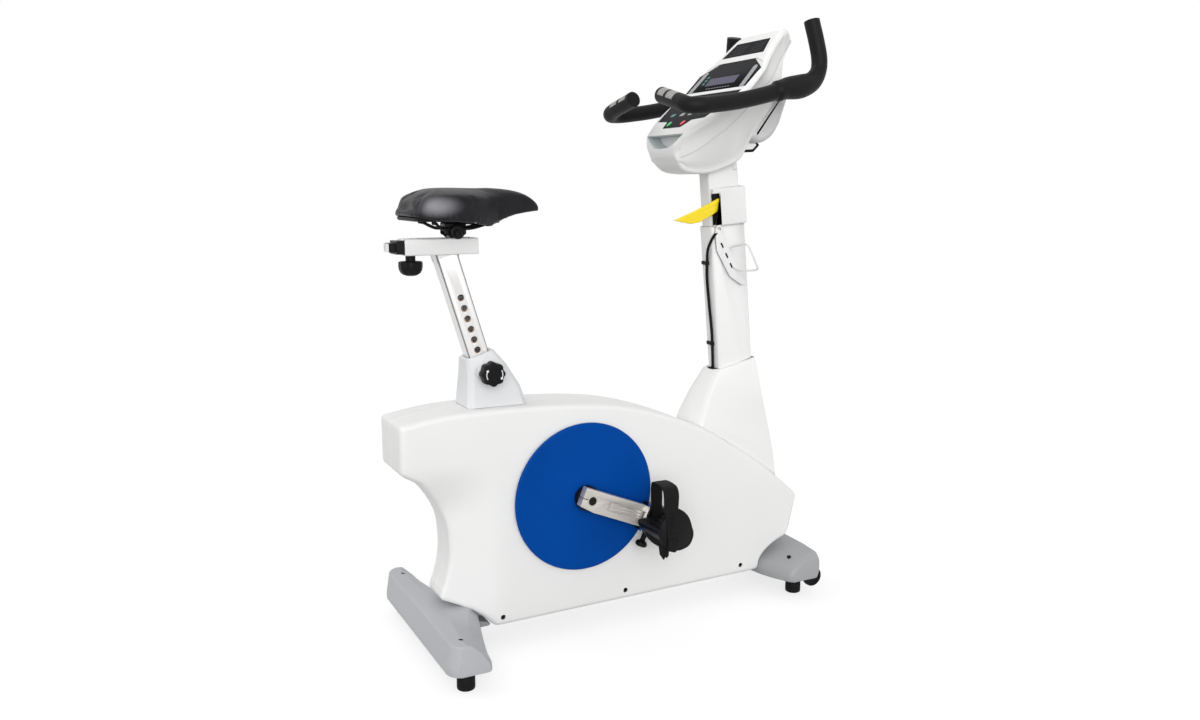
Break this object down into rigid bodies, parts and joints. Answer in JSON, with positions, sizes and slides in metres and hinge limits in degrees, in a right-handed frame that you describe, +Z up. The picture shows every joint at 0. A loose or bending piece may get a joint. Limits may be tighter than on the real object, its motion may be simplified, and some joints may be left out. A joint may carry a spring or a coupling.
{
  "type": "upright exercise bike",
  "caption": "Upright rehabilitation exercise bike with closed drive housing, length-adjustable cranks, strapped pedals, sliding saddle, telescoping mast, console and looped handlebar.",
  "frame": {"origin": "on the floor, below the middle of the whole bike, in its midplane", "axes": "+Z up, +X forward from the saddle to the console, +Y to the rider's left"},
  "size_m": [1.081, 0.5026, 1.4229],
  "materials": {
    "white_plastic": "semi-gloss moulded",
    "white_paint": "powder coat",
    "pale_grey_plastic": "satin moulded",
    "black_plastic": "satin moulded",
    "black_metal": "black paint",
    "screen_plastic": "clear gloss over dark",
    "black_foam": "soft foam",
    "black_rubber": "matte",
    "blue_plastic": "semi-gloss moulded",
    "frame_paint": "powder coat",
    "milled_alloy": "milled",
    "bright_steel": "plated",
    "cast_steel": "turned",
    "grey_vinyl": "vinyl cover",
    "yellow_plastic": "satin moulded",
    "green_plastic": "satin moulded",
    "red_plastic": "satin moulded"
  },
  "bodies": {
    "frame": {"main_frame": "frame_paint", "rear_beam_cover": "pale_grey_plastic", "front_beam_cover": "pale_grey_plastic", "right_housing": "white_plastic", "left_housing": "white_plastic", "seat_boot": "pale_grey_plastic", "mast_boot": "white_plastic", "lower_mast": "white_paint", "mast_collar": "white_paint", "console_cable": "black_rubber", "holder_plate": "white_paint", "holder_hoop": "white_paint", "seat_post_bush": "black_plastic", "right_crank_bearing": "bright_steel", "left_crank_bearing": "bright_steel", "brake_magnet": "cast_steel", "drive_belt": "black_rubber"},
    "crank": {"crank_axle": "black_metal", "drive_pulley": "black_plastic", "right_crank_disc": "blue_plastic", "left_crank_disc": "blue_plastic", "right_crank_arm": "milled_alloy", "left_crank_arm": "milled_alloy"},
    "flywheel": {"flywheel": "cast_steel"},
    "idler": {"idler_pulley": "black_plastic"},
    "right_carriage": {"right_pedal_carriage": "black_metal"},
    "left_carriage": {"left_pedal_carriage": "black_metal"},
    "right_pin": {"right_lock_pin": "black_plastic"},
    "left_pin": {"left_lock_pin": "black_plastic"},
    "right_pedal": {"right_pedal": "black_plastic", "right_pedal_strap": "black_rubber"},
    "left_pedal": {"left_pedal": "black_plastic", "left_pedal_strap": "black_rubber"},
    "seat_column": {"seat_post": "bright_steel", "slider_housing": "white_paint"},
    "seat_pin": {"seat_lock_pin": "bright_steel"},
    "seat_knob": {"seat_lock_knob": "black_plastic"},
    "seat_bar": {"seat_carriage": "black_metal"},
    "slider_screw": {"slider_knob": "black_plastic"},
    "saddle": {"saddle_clamp": "black_metal", "saddle_rails": "black_metal", "saddle_base": "black_plastic", "saddle_cushion": "grey_vinyl"},
    "mast_top": {"upper_mast": "white_paint", "console_back": "white_plastic", "console_face": "white_plastic", "console_screen": "screen_plastic", "console_bracket": "black_plastic", "handlebar_tube": "black_metal", "right_grip": "black_foam", "left_grip": "black_foam"},
    "lever": {"mast_lever": "yellow_plastic"},
    "start_key": {"start_button": "green_plastic"},
    "stop_key": {"stop_button": "red_plastic"},
    "rear_right_foot": {"rear_right_foot": "black_rubber"},
    "rear_left_foot": {"rear_left_foot": "black_rubber"},
    "front_right_foot": {"front_right_foot": "black_rubber"},
    "front_left_foot": {"front_left_foot": "black_rubber"},
    "right_wheel": {"right_transport_wheel": "black_plastic"},
    "left_wheel": {"left_transport_wheel": "black_plastic"}
  },
  "joints": [
    {"name": "crank_spin", "type": "hinge", "parent": "frame", "child": "crank", "pos_m": [-0.1095, 0, 0.33], "axis": [0, 1, 0], "continuous": true},
    {"name": "flywheel_spin", "type": "hinge", "parent": "frame", "child": "flywheel", "pos_m": [0.2205, 0, 0.245], "axis": [0, 1, 0], "continuous": true},
    {"name": "idler_spin", "type": "hinge", "parent": "frame", "child": "idler", "pos_m": [0.0955, 0, 0.222], "axis": [0, 1, 0], "continuous": true},
    {"name": "right_crank_length", "type": "slide", "parent": "crank", "child": "right_carriage", "axis": [0.9225, 0, -0.3859], "range_m": [-0.08, 0]},
    {"name": "left_crank_length", "type": "slide", "parent": "crank", "child": "left_carriage", "axis": [-0.9225, 0, 0.3859], "range_m": [-0.08, 0]},
    {"name": "right_pin_pull", "type": "slide", "parent": "right_carriage", "child": "right_pin", "axis": [-0.3859, 0, -0.9225], "range_m": [0, 0.008], "stiffness_N_per_m": 400, "springref_m": -0.004},
    {"name": "left_pin_pull", "type": "slide", "parent": "left_carriage", "child": "left_pin", "axis": [0.3859, 0, 0.9225], "range_m": [0, 0.008], "stiffness_N_per_m": 400, "springref_m": -0.004},
    {"name": "right_pedal_spin", "type": "hinge", "parent": "right_carriage", "child": "right_pedal", "pos_m": [0.05194, -0.1823, 0.26247], "axis": [0, 1, 0], "continuous": true},
    {"name": "left_pedal_spin", "type": "hinge", "parent": "left_carriage", "child": "left_pedal", "pos_m": [-0.27094, 0.1823, 0.39753], "axis": [0, 1, 0], "continuous": true},
    {"name": "seat_height", "type": "slide", "parent": "frame", "child": "seat_column", "axis": [-0.2924, 0, 0.9563], "range_m": [-0.15, 0.1]},
    {"name": "seat_pin_pull", "type": "slide", "parent": "frame", "child": "seat_pin", "axis": [0, -1, 0], "range_m": [0, 0.012], "stiffness_N_per_m": 400, "springref_m": -0.004},
    {"name": "seat_knob_turn", "type": "hinge", "parent": "seat_pin", "child": "seat_knob", "pos_m": [-0.32695, -0.06, 0.63523], "axis": [0, -1, 0], "range_deg": [0, 360]},
    {"name": "seat_fore_aft", "type": "slide", "parent": "seat_column", "child": "seat_bar", "axis": [1, 0, 0], "range_m": [-0.06, 0.02]},
    {"name": "slider_knob_turn", "type": "hinge", "parent": "seat_column", "child": "slider_screw", "pos_m": [-0.4815, 0, 0.87], "axis": [0, 0, 1], "range_deg": [0, 360]},
    {"name": "saddle_tilt", "type": "hinge", "parent": "seat_bar", "child": "saddle", "pos_m": [-0.3845, 0, 0.944], "axis": [0, 1, 0], "range_deg": [-10, 10]},
    {"name": "mast_height", "type": "slide", "parent": "frame", "child": "mast_top", "axis": [-0.0931, 0, 0.9957], "range_m": [-0.025, 0.1]},
    {"name": "lever_turn", "type": "hinge", "parent": "frame", "child": "lever", "pos_m": [0.29686, -0.028, 0.99913], "axis": [0, 1, 0], "range_deg": [0, 28]},
    {"name": "start_press", "type": "slide", "parent": "mast_top", "child": "start_key", "axis": [0.6054, 0, -0.7959], "range_m": [0, 0.0015], "stiffness_N_per_m": 600, "springref_m": -0.001},
    {"name": "stop_press", "type": "slide", "parent": "mast_top", "child": "stop_key", "axis": [0.6054, 0, -0.7959], "range_m": [0, 0.0015], "stiffness_N_per_m": 600, "springref_m": -0.001},
    {"name": "rear_right_foot_screw", "type": "slide", "parent": "frame", "child": "rear_right_foot", "axis": [0, 0, -1], "range_m": [0, 0.012]},
    {"name": "rear_left_foot_screw", "type": "slide", "parent": "frame", "child": "rear_left_foot", "axis": [0, 0, -1], "range_m": [0, 0.012]},
    {"name": "front_right_foot_screw", "type": "slide", "parent": "frame", "child": "front_right_foot", "axis": [0, 0, -1], "range_m": [0, 0.012]},
    {"name": "front_left_foot_screw", "type": "slide", "parent": "frame", "child": "front_left_foot", "axis": [0, 0, -1], "range_m": [0, 0.012]},
    {"name": "right_wheel_spin", "type": "hinge", "parent": "frame", "child": "right_wheel", "pos_m": [0.5145, -0.146, 0.045], "axis": [0, 1, 0], "continuous": true},
    {"name": "left_wheel_spin", "type": "hinge", "parent": "frame", "child": "left_wheel", "pos_m": [0.5145, 0.146, 0.045], "axis": [0, 1, 0], "continuous": true}
  ],
  "couplings": [
    {"joint": "flywheel_spin", "follows": "crank_spin", "ratio": 5.0784},
    {"joint": "idler_spin", "follows": "crank_spin", "ratio": -5.5106}
  ]
}
